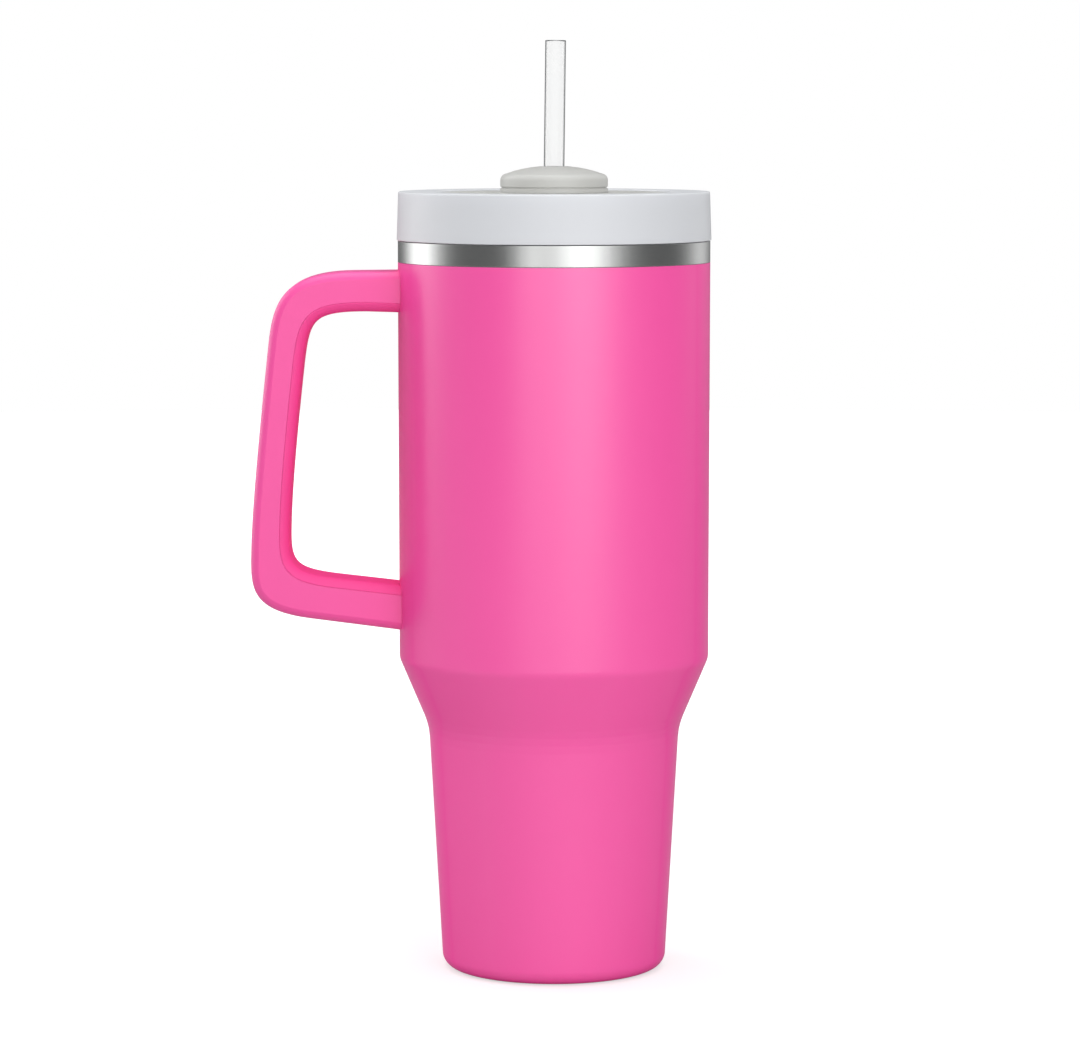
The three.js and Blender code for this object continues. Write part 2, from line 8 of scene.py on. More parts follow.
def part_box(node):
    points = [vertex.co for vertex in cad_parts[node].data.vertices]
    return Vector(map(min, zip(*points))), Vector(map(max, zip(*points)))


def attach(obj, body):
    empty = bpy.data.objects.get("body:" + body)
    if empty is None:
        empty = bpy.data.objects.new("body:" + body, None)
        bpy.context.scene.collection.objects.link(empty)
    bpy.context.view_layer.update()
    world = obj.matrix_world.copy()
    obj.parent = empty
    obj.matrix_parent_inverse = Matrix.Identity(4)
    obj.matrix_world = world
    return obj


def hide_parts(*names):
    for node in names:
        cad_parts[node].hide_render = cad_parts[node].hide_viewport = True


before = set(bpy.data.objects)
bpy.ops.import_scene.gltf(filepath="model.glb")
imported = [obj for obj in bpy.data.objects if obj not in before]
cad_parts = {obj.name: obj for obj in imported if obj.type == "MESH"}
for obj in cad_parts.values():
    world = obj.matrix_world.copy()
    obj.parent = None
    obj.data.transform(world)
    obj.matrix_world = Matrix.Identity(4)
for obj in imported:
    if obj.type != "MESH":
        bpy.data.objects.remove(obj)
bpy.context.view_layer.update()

MM = 0.001
ROUND = 192  # facets round a large turned piece
SMALL_ROUND = 64  # facets round a screw or plug
CREASE = math.radians(28)  # edges sharper than this stay crisp
FINE_CREASE = math.radians(9)  # the same on the handle, whose edges meet its sides at a shallow angle


# ---------------------------------------------------------------- places and sizes from the frame
def low_high(node):
    """The lowest and highest corner of a CAD node, in millimetres."""
    low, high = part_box(node)
    return low / MM, high / MM


SHELL_LOW, SHELL_HIGH = low_high("outer_shell")
LINER_LOW, LINER_HIGH = low_high("inner_liner")
LID_LOW, LID_HIGH = low_high("lid_body")
DISC_LOW, DISC_HIGH = low_high("rotary_cover")
_, TURRET_HIGH = low_high("cover_turret")
SLEEVE_LOW, SLEEVE_HIGH = low_high("straw_grommet")
GASKET_LOW, GASKET_HIGH = low_high("lid_gasket")
_, PAD_HIGH = low_high("base_pad")
_, HANDLE_HIGH = low_high("handle_shell")
STRAW_LOW, STRAW_HIGH = low_high("straw")

BODY_R = SHELL_HIGH.x
COAT_TOP = SHELL_HIGH.z - 0.4  # the coat's edge is masked a little below the end of its wall
FOOT_Z = SHELL_LOW.z
RIM_Z = LINER_HIGH.z
LID_BOTTOM_R = LID_HIGH.x
LID_TOP = LID_HIGH.z
TURRET_R = TURRET_HIGH.x
TURRET_TOP = TURRET_HIGH.z

FOOT_OPENING_R = 27.5
FOOT_FILLET = 4.75
FOOT_WALL_R = 36.15
CONE_START = (40.37, 79.1)
SHOULDER = (49.8, 101.2)
SHOULDER_FILLET = 6.0
WALL = 0.5
BAND_TOP = 235.38
BAND_SEAM = 0.12
NECK_R = 47.9
MOUTH_R = 45.6
LINER_FLOOR = LINER_LOW.z + 0.4
LID_BOTTOM = 235.5
RECESS_R = 37.6
LID_FLOOR = 247.4
HUB_HOLE_R = 9.4
HUB_R = 9.1
HUB_BORE_R = 5.9
DISC_BOTTOM = 248.0
DISC_TOP = 250.6
DISC_R = DISC_HIGH.x
PORT = (26.5, 33.5, 12.0)  # inner radius, outer radius, half angle
PORT_DEG = 90.0
COVER_TURN = 60.0
TRACK = (19.5, 22.0)  # inner and outer radius of the groove that the cover's stop lug runs in
TRACK_FLOOR = 246.3
LUG_HALF = 4.0  # half the lug's length in degrees
LUG_PLAY = 1.2  # degrees left free at each end of the track
VENT_DEG = -90.0
VENT_DISTANCE = 30.0
VENT_R = 1.6
STRAW_R = STRAW_HIGH.y
STRAW_WALL = 0.7
STRAW_LEAN = math.radians(0.7)
HANDLE_HALF = HANDLE_HIGH.y


# ---------------------------------------------------------------- mesh helpers
def rounded(corners, closed=True, step=10.0):
    """A profile from corners (r, z) or (r, z, fillet radius), with about `step` degrees to each facet."""
    made = []
    count = len(corners)
    for i, corner in enumerate(corners):
        here = Vector(corner[:2])
        radius = corner[2] if len(corner) > 2 else 0.0
        ends = not closed and i in (0, count - 1)
        if radius <= 0 or ends:
            made.append(here)
            continue
        back = (Vector(corners[i - 1][:2]) - here).normalized()
        on = (Vector(corners[(i + 1) % count][:2]) - here).normalized()
        half = back.angle(on) / 2
        reach = radius / math.tan(half)
        centre = here + (back + on).normalized() * (radius / math.sin(half))
        start = here + back * reach - centre
        turn = math.pi - 2 * half
        if start.cross(here + on * reach - centre) < 0:
            turn = -turn
        steps = max(2, round(abs(math.degrees(turn)) / step))
        for k in range(steps + 1):
            a = turn * k / steps
            swung = Vector((
                start.x * math.cos(a) - start.y * math.sin(a),
                start.x * math.sin(a) + start.y * math.cos(a),
            ))
            made.append(centre + swung)
    return held(made, closed)


def held(points, closed, near=0.25):
    """Adds a point close to each end of every long straight stretch, so that its shading stays even."""
    made = []
    ends = points[1:] + points[:1] if closed else points[1:]
    for a, b in zip(points, ends):
        made.append(a)
        length = (b - a).length
        if length > 4 * near:
            made += [a.lerp(b, near / length), a.lerp(b, 1 - near / length)]
    return made if closed else [*made, points[-1]]


def new_piece(name, verts, faces, crease=CREASE):
    """A mesh object from vertices in millimetres, smooth but for crisp edges, its faces turned outwards."""
    mesh = bpy.data.meshes.new(name)
    work = bmesh.new()
    made = [work.verts.new(Vector(v) * MM) for v in verts]
    for face in faces:
        if len(set(face)) > 2:
            work.faces.new([made[i] for i in dict.fromkeys(face)])
    bmesh.ops.remove_doubles(work, verts=work.verts, dist=1e-7)
    bmesh.ops.recalc_face_normals(work, faces=work.faces)
    work.to_mesh(mesh)
    work.free()
    shade(mesh, crease)
    piece = bpy.data.objects.new(name, mesh)
    bpy.context.scene.collection.objects.link(piece)
    return piece


def shade(mesh, crease=CREASE):
    """Smooth shading that stops at crisp edges."""
    work = bmesh.new()
    work.from_mesh(mesh)
    for face in work.faces:
        face.smooth = True
    for edge in work.edges:
        edge.smooth = len(edge.link_faces) == 2 and edge.calc_face_angle(0.0) < crease
    work.to_mesh(mesh)
    work.free()


def lathe(name, profile, around=ROUND, closed=True):
    """Turns a profile about Z. An open profile starts and ends on the axis."""
    verts = []
    rows = []
    for p in profile:
        row = []
        for k in range(1 if p[0] < 1e-6 else around):
            a = 2 * math.pi * k / around
            row.append(len(verts))
            verts.append((p[0] * math.cos(a), p[0] * math.sin(a), p[1]))
        rows.append(row)
    faces = []
    pairs = list(zip(rows, rows[1:] + rows[:1])) if closed else list(zip(rows, rows[1:]))
    for a, b in pairs:
        for k in range(around):
            n = (k + 1) % around
            quad = [a[k % len(a)], a[n % len(a)], b[n % len(b)], b[k % len(b)]]
            faces.append(quad)
    return new_piece(name, verts, faces)


def prism(outline, z0, z1):
    """A closed upright prism of an [x, y] outline as (vertices, faces), for cutting."""
    count = len(outline)
    verts = [(x, y, z0) for x, y in outline] + [(x, y, z1) for x, y in outline]
    sides = [(i, (i + 1) % count, count + (i + 1) % count, count + i) for i in range(count)]
    return verts, [tuple(reversed(range(count))), tuple(range(count, 2 * count)), *sides]


def sector(inner, outer, centre, half, corner=1.2, steps=16):
    """The outline of a stretch of ring with rounded corners, about Z. Angles are in degrees."""
    outline = []
    for radius, sign in ((outer, 1), (inner, -1)):
        inset = math.degrees(corner / radius)
        nearer = radius - sign * corner
        arc = [half - inset - (2 * half - 2 * inset) * k / steps for k in range(steps + 1)]
        angles = [centre - sign * a for a in arc]
        ends = [angles[0] - sign * inset, angles[-1] + sign * inset]
        outline.append(polar(nearer, ends[0]))
        outline.append(polar(radius - sign * corner * 0.3, ends[0] + sign * inset * 0.3))
        outline += [polar(radius, a) for a in angles]
        outline.append(polar(radius - sign * corner * 0.3, ends[1] - sign * inset * 0.3))
        outline.append(polar(nearer, ends[1]))
    return outline


def polar(radius, degrees):
    a = math.radians(degrees)
    return radius * math.cos(a), radius * math.sin(a)


def circle(x, y, radius, around=SMALL_ROUND):
    return [(x + radius * math.cos(a), y + radius * math.sin(a))
            for a in (2 * math.pi * k / around for k in range(around))]


def carve(piece, solids, operation="DIFFERENCE", crease=CREASE):
    """Cuts (or joins) solids into a piece for good, and marks its crisp edges again."""
    for verts, faces in solids:
        cutter = new_piece("cutter", verts, faces)
        step = piece.modifiers.new("carve", "BOOLEAN")
        step.operation = operation
        step.solver = "EXACT"
        step.object = cutter
        graph = bpy.context.evaluated_depsgraph_get()
        cut = bpy.data.meshes.new_from_object(piece.evaluated_get(graph))
        piece.modifiers.clear()
        old, piece.data = piece.data, cut
        bpy.data.meshes.remove(old)
        bpy.data.objects.remove(cutter)
    shade(piece.data, crease)
    return piece


def settle(piece, body, slot, paint, *nodes):
    """Gives a piece its material and the body it rides on, and hides the CAD nodes it stands for."""
    piece.data.materials.clear()
    piece.data.materials.append(paint)
    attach(piece, body)
    if nodes:
        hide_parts(*nodes)
    return piece


# ---------------------------------------------------------------- materials
def node_material(name):
    made = bpy.data.materials.new(name)
    made.use_nodes = True
    tree = made.node_tree
    return made, tree, tree.nodes["Principled BSDF"]


def noise(tree, coords, scale, detail=3.0, stretch=(1, 1, 1)):
    """A noise pattern in the piece's own metres, finer as scale grows."""
    place = tree.nodes.new("ShaderNodeMapping")
    place.inputs["Scale"].default_value = stretch
    pattern = tree.nodes.new("ShaderNodeTexNoise")
    pattern.inputs["Scale"].default_value = scale
    pattern.inputs["Detail"].default_value = detail
    tree.links.new(coords, place.inputs["Vector"])
    tree.links.new(place.outputs["Vector"], pattern.inputs["Vector"])
    return pattern.outputs["Fac"]


def spread(tree, value, low, high, start=0.3, end=0.7):
    """Maps a value from start..end, by default the middle of a noise pattern, to the range low..high."""
    made = tree.nodes.new("ShaderNodeMapRange")
    made.inputs["From Min"].default_value = start
    made.inputs["From Max"].default_value = end
    made.inputs["To Min"].default_value = low
    made.inputs["To Max"].default_value = high
    tree.links.new(value, made.inputs["Value"])
    return made.outputs["Result"]


def blend(tree, factor, first, second):
    """Mixes two colours."""
    mix = tree.nodes.new("ShaderNodeMix")
    mix.data_type = "RGBA"
    mix.inputs["A"].default_value = (*first, 1)
    mix.inputs["B"].default_value = (*second, 1)
    tree.links.new(factor, mix.inputs["Factor"])
    return mix.outputs["Result"]


def finish(name, color, rough, metallic=0.0, tone=0.02, tone_scale=14.0, rough_spread=0.04,
           grain=900.0, grain_depth=0.03, stretch=(1, 1, 1), **sockets):
    """A surface with cloudy colour, uneven gloss and a fine grain. Depths are in millimetres."""
    made, tree, shader = node_material(name)
    coords = tree.nodes.new("ShaderNodeTexCoord").outputs["Object"]
    clouds = spread(tree, noise(tree, coords, tone_scale), 0, 1)
    darker = [c * (1 - tone) for c in color]
    paler = [min(1, c * (1 + tone)) for c in color]
    tree.links.new(blend(tree, clouds, darker, paler), shader.inputs["Base Color"])
    gloss = noise(tree, coords, tone_scale * 5, stretch=stretch)
    roughness = spread(tree, gloss, rough - rough_spread, rough + rough_spread)
    tree.links.new(roughness, shader.inputs["Roughness"])
    bump = tree.nodes.new("ShaderNodeBump")
    bump.inputs["Strength"].default_value = 1.0
    bump.inputs["Distance"].default_value = grain_depth * MM
    tree.links.new(noise(tree, coords, grain, 2.0, stretch), bump.inputs["Height"])
    tree.links.new(bump.outputs["Normal"], shader.inputs["Normal"])
    shader.inputs["Metallic"].default_value = metallic
    for socket, value in sockets.items():
        shader.inputs[socket.replace("_", " ")].default_value = value
    return made


def painted_light_inside(material, color, metallic, radius):
    """Paints light into a turned piece within a radius of the Z axis: another colour and less of a mirror's
    look there.
    """
    tree = material.node_tree
    shader = tree.nodes["Principled BSDF"]
    coords = tree.nodes.new("ShaderNodeTexCoord").outputs["Object"]
    flat = tree.nodes.new("ShaderNodeVectorMath")
    flat.operation = "MULTIPLY"
    flat.inputs[1].default_value = (1, 1, 0)
    tree.links.new(coords, flat.inputs[0])
    distance = tree.nodes.new("ShaderNodeVectorMath")
    distance.operation = "LENGTH"
    tree.links.new(flat.outputs["Vector"], distance.inputs[0])
    inside = spread(tree, distance.outputs["Value"], 1, 0, (radius - 0.5) * MM, (radius + 0.5) * MM)
    mix = tree.nodes.new("ShaderNodeMix")
    mix.data_type = "RGBA"
    mix.inputs["B"].default_value = (*color, 1)
    tree.links.new(inside, mix.inputs["Factor"])
    tree.links.new(shader.inputs["Base Color"].links[0].from_socket, mix.inputs["A"])
    tree.links.new(mix.outputs["Result"], shader.inputs["Base Color"])
    tree.links.new(spread(tree, inside, 1, metallic, 0, 1), shader.inputs["Metallic"])


def matt_edges(material, face_on, edge_on):
    """Gives a coat less gloss where it is seen edge on, as its fine texture does."""
    tree = material.node_tree
    facing = tree.nodes.new("ShaderNodeLayerWeight")
    facing.inputs["Blend"].default_value = 0.5
    level = spread(tree, facing.outputs["Facing"], face_on, edge_on, 0.2, 0.6)
    tree.links.new(level, tree.nodes["Principled BSDF"].inputs["Specular IOR Level"])


def translucent(weight, depth):
    """Sockets of a plastic that light enters a little way, down to a depth in millimetres."""
    return {"Subsurface_Weight": weight, "Subsurface_Scale": depth * MM, "Subsurface_Radius": (1, 1, 1)}


def clear_plastic(name):
    """The straw's clear plastic, greyer where its wall is seen edge on and at its cut ends, which is
    painted shade standing in for the darker surroundings seen in those edges.

    It has the faint drawn lines of an extruded tube.
    """
    made, tree, shader = node_material(name)
    coords = tree.nodes.new("ShaderNodeTexCoord").outputs["Object"]
    facing = tree.nodes.new("ShaderNodeLayerWeight")
    facing.inputs["Blend"].default_value = 0.5
    marks = {}
    for mark in (OUTER_WALL, CUT_END):
        marks[mark] = tree.nodes.new("ShaderNodeAttribute")
        marks[mark].attribute_name = mark
    edge = tree.nodes.new("ShaderNodeMath")
    edge.operation = "MULTIPLY_ADD"
    tree.links.new(facing.outputs["Facing"], edge.inputs[0])
    tree.links.new(marks[OUTER_WALL].outputs["Fac"], edge.inputs[1])
    tree.links.new(marks[CUT_END].outputs["Fac"], edge.inputs[2])
    # painted shade: grey and more opaque where the wall is seen edge on and at the cut ends
    seen = spread(tree, edge.outputs[0], 0, 1, *EDGE_RANGE)
    tree.links.new(spread(tree, seen, CLEAR_ALPHA, EDGE_ALPHA, 0, 1), shader.inputs["Alpha"])
    tree.links.new(blend(tree, seen, CLEAR_COLOR, EDGE_SHADE_COLOR), shader.inputs["Base Color"])
    lines = noise(tree, coords, 500.0, 2.0, (1, 1, 0.01))
    tree.links.new(spread(tree, lines, 0.14, 0.24), shader.inputs["Roughness"])
    bump = tree.nodes.new("ShaderNodeBump")
    bump.inputs["Distance"].default_value = 0.004 * MM
    tree.links.new(lines, bump.inputs["Height"])
    tree.links.new(bump.outputs["Normal"], shader.inputs["Normal"])
    return made


PINK = (0.96, 0.086, 0.388)
HANDLE_PINK = (0.92, 0.091, 0.37)
# darker, more saturated pink than the frame's: partly the soft insert's own colour, partly painted shade
# and pink light bounced from the cup onto the handle's inner side
GRIP_SHADED_PINK = (0.89, 0.069, 0.315)
BRUSHED_ROUND = (0.04, 0.04, 3.0)  # stretches the grain into lines round the axis
OUTER_WALL = "outer_wall"  # marks the straw's outer wall
CUT_END = "cut_end"  # marks the straw's two cut ends
# painted shade: how much of the grey the straw's cut ends get
CUT_END_SHADE = 0.5
EDGE_RANGE = (0.37, 0.62)  # how edge on the straw's wall is where its painted shade starts and where it is full
CLEAR_ALPHA = 0.085
EDGE_ALPHA = 0.9
CLEAR_COLOR = (0.81, 0.82, 0.82)
# painted shade: the grey given to the straw's edges and cut ends
EDGE_SHADE_COLOR = (0.10, 0.105, 0.11)

powder_coat = finish("powder_coat", PINK, 0.29, grain=500.0, grain_depth=0.004, tone=0.012,
                     rough_spread=0.015)
matt_edges(powder_coat, 1.0, 0.05)
handle_plastic = finish("handle_plastic", HANDLE_PINK, 0.38, grain=2200.0, grain_depth=0.008, tone=0.012)
grip_rubber = finish("grip_rubber", GRIP_SHADED_PINK, 0.6, grain=1200.0, grain_depth=0.02)
matt_edges(grip_rubber, 0.4, 0.05)
polished_steel = finish("polished_steel", (0.41, 0.415, 0.41), 0.20, 1.0, tone=0.015, rough_spread=0.02,
                        grain=900.0, grain_depth=0.002, stretch=BRUSHED_ROUND)
# painted light: paler, less mirror-like steel inside the mouth stands in for light reaching the cup's
# inside
painted_light_inside(polished_steel, (0.80, 0.80, 0.79), 0.5, (NECK_R + MOUTH_R) / 2)
plain_steel = finish("plain_steel", (0.60, 0.60, 0.59), 0.38, 1.0, tone=0.05)
frosted_lid = finish("frosted_lid", (0.675, 0.69, 0.72), 0.42, grain=1800.0, grain_depth=0.01, tone=0.01,
                     **translucent(0.25, 4.0))
turret_plastic = finish("turret_plastic", (0.535, 0.535, 0.515), 0.45, grain=1800.0, grain_depth=0.01,
                        tone=0.012, **translucent(0.15, 3.0))
soft_silicone = finish("soft_silicone", (0.70, 0.70, 0.68), 0.62, grain=1400.0, grain_depth=0.02,
                       **translucent(0.4, 2.0))
pad_rubber = finish("pad_rubber", (0.48, 0.48, 0.47), 0.75, grain=1200.0, grain_depth=0.05, tone=0.05)
clip_plastic = finish("clip_plastic", (0.76, 0.76, 0.74), 0.4)
heat_foil = finish("heat_foil", (0.80, 0.80, 0.80), 0.3, 1.0, grain=250.0, grain_depth=0.15)
sintered_grey = finish("sintered_grey", (0.16, 0.16, 0.16), 0.85, 0.5, tone=0.2, grain=2500.0,
                       grain_depth=0.05)
straw_plastic = clear_plastic("straw_plastic")


# ---------------------------------------------------------------- the cup
def coated_wall():
    """The powder-coated outer wall, from the flat foot ring to the bare band."""
    steep = (CONE_START[0] - FOOT_WALL_R) / (CONE_START[1] - FOOT_Z - FOOT_FILLET)
    foot_corner = FOOT_WALL_R - steep * FOOT_FILLET
    outside = [
        (FOOT_OPENING_R, FOOT_Z, 0.15),
        (foot_corner, FOOT_Z, FOOT_FILLET),
        (*CONE_START, 22.0),
        (*SHOULDER, SHOULDER_FILLET),
        (BODY_R, COAT_TOP + BAND_SEAM, 0.12),
    ]
    inside = [(BODY_R - WALL, COAT_TOP + BAND_SEAM)]
    inside += [(r - WALL, z) for r, z in (SHOULDER, CONE_START)]
    inside += [(foot_corner - WALL, FOOT_Z + WALL, FOOT_FILLET - WALL), (FOOT_OPENING_R, FOOT_Z + WALL)]
    wall = lathe("coated_wall", rounded(outside + inside, step=6.0), 256)
    return settle(wall, "tumbler", "pink_coat", powder_coat, "outer_shell")


def steel_cup():
    """The inner cup with its rolled lip, the neck under the lid, and the bare band."""
    wall = 0.4
    lip = (NECK_R - MOUTH_R) / 2
    band_low = COAT_TOP + 0.3 - BAND_SEAM
    floor_r, floor_fillet = 31.8, 6.0
    cone_r, cone_z = 35.9, 81.0
    shoulder_z = 105.0
    curve = 30.0
    corners = [
        (0.0, LINER_FLOOR - wall),
        (floor_r + wall, LINER_FLOOR - wall, floor_fillet),
        (cone_r + wall, cone_z, curve),
        (MOUTH_R + wall, shoulder_z, curve),
        (MOUTH_R + wall, RIM_Z - wall, lip - wall),
        (NECK_R - wall, RIM_Z - wall, lip - wall),
        (NECK_R - wall, BAND_TOP - wall, 0.3),
        (BODY_R - wall, BAND_TOP - wall, 0.3),
        (BODY_R - wall, band_low),
        (BODY_R, band_low, 0.1),
        (BODY_R, BAND_TOP, 0.3),
        (NECK_R, BAND_TOP, 0.5),
        (NECK_R, RIM_Z, lip),
        (MOUTH_R, RIM_Z, lip),
        (MOUTH_R, shoulder_z, curve),
        (cone_r, cone_z, curve),
        (floor_r, LINER_FLOOR, floor_fillet),
        (0.0, LINER_FLOOR),
    ]
    cup = lathe("steel_cup", rounded(corners, closed=False, step=8.0), closed=False)
    return settle(cup, "tumbler", "bare_steel", polished_steel, "inner_liner")


def foot_pad():
    """The non-slip disc under the cup, with fine ring grooves in its lower face."""
    radius = PAD_HIGH.x
    top = PAD_HIGH.z
    corners = [(0.0, 0.0)]
    for groove in (14.0, 17.0, 20.0, 23.0):
        corners += [(groove - 0.5, 0.0), (groove - 0.35, 0.25), (groove + 0.35, 0.25), (groove + 0.5, 0.0)]
    corners += [(radius, 0.0, 0.15), (radius, top, 0.1), (0.0, top)]
    pad = lathe("foot_pad", rounded(corners, closed=False), closed=False)
    return settle(pad, "tumbler", "base_rubber", pad_rubber, "base_pad")


# ---------------------------------------------------------------- the handle
ARM_END_GAP = 0.01
END_X = -46.0  # where the side view's lines end, inside the cup's wall
OUTER = {
    "start": (END_X, 225.8),
    "upper": [(-64.1, 225.6), (-86.1, 225.4), (-89.6, 216.4), (-91.1, 203.1)],
    "bow": (-96.7, 153.0),
    "lower": [(-97.1, 136.3), (-97.4, 124.5), (-97.9, 117.1), (-78.7, 114.5)],
    "end": (END_X, 110.3),
}
INNER = {
    "start": (END_X, 212.6),
    "upper": [(-59.9, 213.0), (-77.0, 213.0), (-78.5, 210.3), (-80.2, 197.05)],
    "bow": (-84.2, 162.5),
    "lower": [(-84.8, 145.9), (-85.2, 131.2), (-85.6, 129.2), (-67.8, 127.2)],
    "end": (END_X, 124.7),
}
ARM_SHARES = (0.0, 0.04, 0.1, 0.2, 0.35, 0.5, 0.65, 0.8)  # along an arm, closer together at the cup
CORNER_STEPS = 26
BAR_STEPS = 24
STATIONS = 2 * len(ARM_SHARES) + 2 * CORNER_STEPS + BAR_STEPS + 1
EDGE = 2.6  # size of the handle's bevelled edges
EDGE_ROUNDNESS = 0.6
GRIP_DEPTH = 2.95
GRIP_SEAM = 0.02
GRIP_CROWN = 0.25
SEAM_BREAK = 0.08  # the small bevels either side of the seam


def bezier(points, steps):
    """Points along a cubic or quadratic Bezier, its first point left out."""
    made = []
    for k in range(1, steps + 1):
        level = [Vector(p) for p in points]
        while len(level) > 1:
            level = [a.lerp(b, k / steps) for a, b in zip(level, level[1:])]
        made.append(level[0])
    return made


def wall_x(z, y):
    """How far along X an arm's end reaches to just meet the cup's outer wall, at a height and a depth."""
    share = (z - SHOULDER[1]) / (COAT_TOP - SHOULDER[1])
    radius = SHOULDER[0] + (BODY_R - SHOULDER[0]) * share + ARM_END_GAP
    return -math.sqrt(radius**2 - y * y)


def at_x(a, b, x):
    """The point at x on the straight line through a and b."""
    a, b = Vector(a), Vector(b)
    return a.lerp(b, (x - a.x) / (b.x - a.x))


def handle_line(line, y):
    """The side-view points of one line of the handle and its directions inwards, at a depth y.

    It runs from the cup along the upper arm, down the bar, and back along the lower arm.
    """
    first = at_x(line["start"], line["upper"][0], wall_x(line["start"][1], y))
    last = at_x(line["lower"][-1], line["end"], wall_x(line["end"][1], y))
    upper, lower = Vector(line["upper"][0]), Vector(line["lower"][-1])
    points = [first.lerp(upper, share) for share in ARM_SHARES] + [upper]
    points += bezier(line["upper"], CORNER_STEPS)
    points += bezier([line["upper"][-1], line["bow"], line["lower"][0]], BAR_STEPS)
    points += bezier(line["lower"], CORNER_STEPS)
    points += [last.lerp(lower, share) for share in reversed(ARM_SHARES)]
    inwards = []
    for k in range(len(points)):
        along = (points[min(k + 1, len(points) - 1)] - points[max(k - 1, 0)]).normalized()
        inwards.append(Vector((-along.y, along.x)) * (1 if line is OUTER else -1))
    return points, inwards


def handle_edge(steps=10):
    """A bevelled and slightly rounded edge: (distance in from the line, distance in from the side)."""
    made = []
    for k in range(steps + 1):
        t = k / steps
        angle = t * math.pi / 2
        straight = Vector((EDGE * t, EDGE * (1 - t)))
        full = Vector((EDGE * (1 - math.cos(angle)), EDGE * (1 - math.sin(angle))))
        made.append(straight.lerp(full, EDGE_ROUNDNESS))
    return made


def sweep(name, half):
    """Runs a section round the handle, from cup to cup.

    `half` lists (line, distance in from it, y) for y >= 0; the other half mirrors it.
    """
    mirrored = [(line, inward, -y) for line, inward, y in reversed(half) if y > 0]
    section = half + mirrored
    depths = sorted({abs(y) for _, _, y in section})
    lines = {(key, y): handle_line(line, y)
             for key, line in (("outer", OUTER), ("inner", INNER)) for y in depths}
    verts = []
    for station in range(STATIONS):
        for key, inward, y in section:
            points, inwards = lines[key, abs(y)]
            at = points[station] + inwards[station] * inward
            if station in (0, STATIONS - 1):
                at.x = wall_x(at.y, y)
            verts.append((at.x, y, at.y))
    count = len(section)
    faces = []
    for row in range(STATIONS - 1):
        for k in range(count):
            n = (k + 1) % count
            a = row * count
            faces.append((a + k, a + n, a + count + n, a + count + k))
    end = (STATIONS - 1) * count
    faces += [tuple(range(count)), tuple(range(end, end + count))]
    return new_piece(name, verts, faces, FINE_CREASE)


def screw_hole(arm):
    """The hole for an arm's screw and its soft plug, as a cutter."""
    low, high = low_high(f"screw_plug_{arm}")
    return prism(circle((low.x + high.x) / 2, 0, (high.x - low.x) / 2 + 0.1), low.z - 6, high.z + 0.3)


def handle_frame():
    """The hard outer part of the handle. Its bevelled edges meet the flat sides in a fine line."""
    edge = handle_edge()
    half = [("outer", 0.0, y) for y in (0.0, 2.5, 5.0)]
    half += [("outer", u, HANDLE_HALF - y) for u, y in edge]
    seam = GRIP_DEPTH + GRIP_SEAM
    half += [("inner", seam + SEAM_BREAK, HANDLE_HALF), ("inner", seam, HANDLE_HALF - SEAM_BREAK)]
    half += [("inner", seam, y) for y in (5.0, 0.0)]
    made = sweep("handle_frame", half)
    carve(made, [screw_hole("bottom")], crease=FINE_CREASE)
    return settle(made, "tumbler", "pink_plastic", handle_plastic, "handle_shell")


def handle_insert():
    """The soft layer along the inner side, slightly crowned across the fingers."""
    edge = handle_edge()
    seam = GRIP_DEPTH - GRIP_SEAM
    flat = HANDLE_HALF - EDGE
    half = [("inner", seam, y) for y in (0.0, 5.0, HANDLE_HALF - SEAM_BREAK)]
    half += [("inner", seam - SEAM_BREAK, HANDLE_HALF)]
    half += [("inner", u, HANDLE_HALF - y) for u, y in reversed(edge)]
    half += [("inner", -GRIP_CROWN * (1 - (y / flat)**2), y) for y in (5.5, 3.5, 1.5, 0.0)]
    made = sweep("handle_insert", half)
    carve(made, [screw_hole("top")], crease=FINE_CREASE)
    return settle(made, "tumbler", "pink_grip", grip_rubber, "handle_grip")


def screw_cover(arm):
    """The soft plug over a screw head, set into the arm's underside."""
    node = f"screw_plug_{arm}"
    low, high = low_high(node)
    radius = (high.x - low.x) / 2
    profile = rounded([(0.0, low.z + 0.15), (radius - 1.0, low.z, 0.6), (radius, low.z + 0.5, 0.3),
                       (radius, high.z), (0.0, high.z)], closed=False)
    made = lathe(f"screw_cover_{arm}", profile, SMALL_ROUND, closed=False)
    made.data.transform(Matrix.Translation(((low.x + high.x) / 2 * MM, 0, 0)))
    return settle(made, "tumbler", "pink_grip", grip_rubber, node)


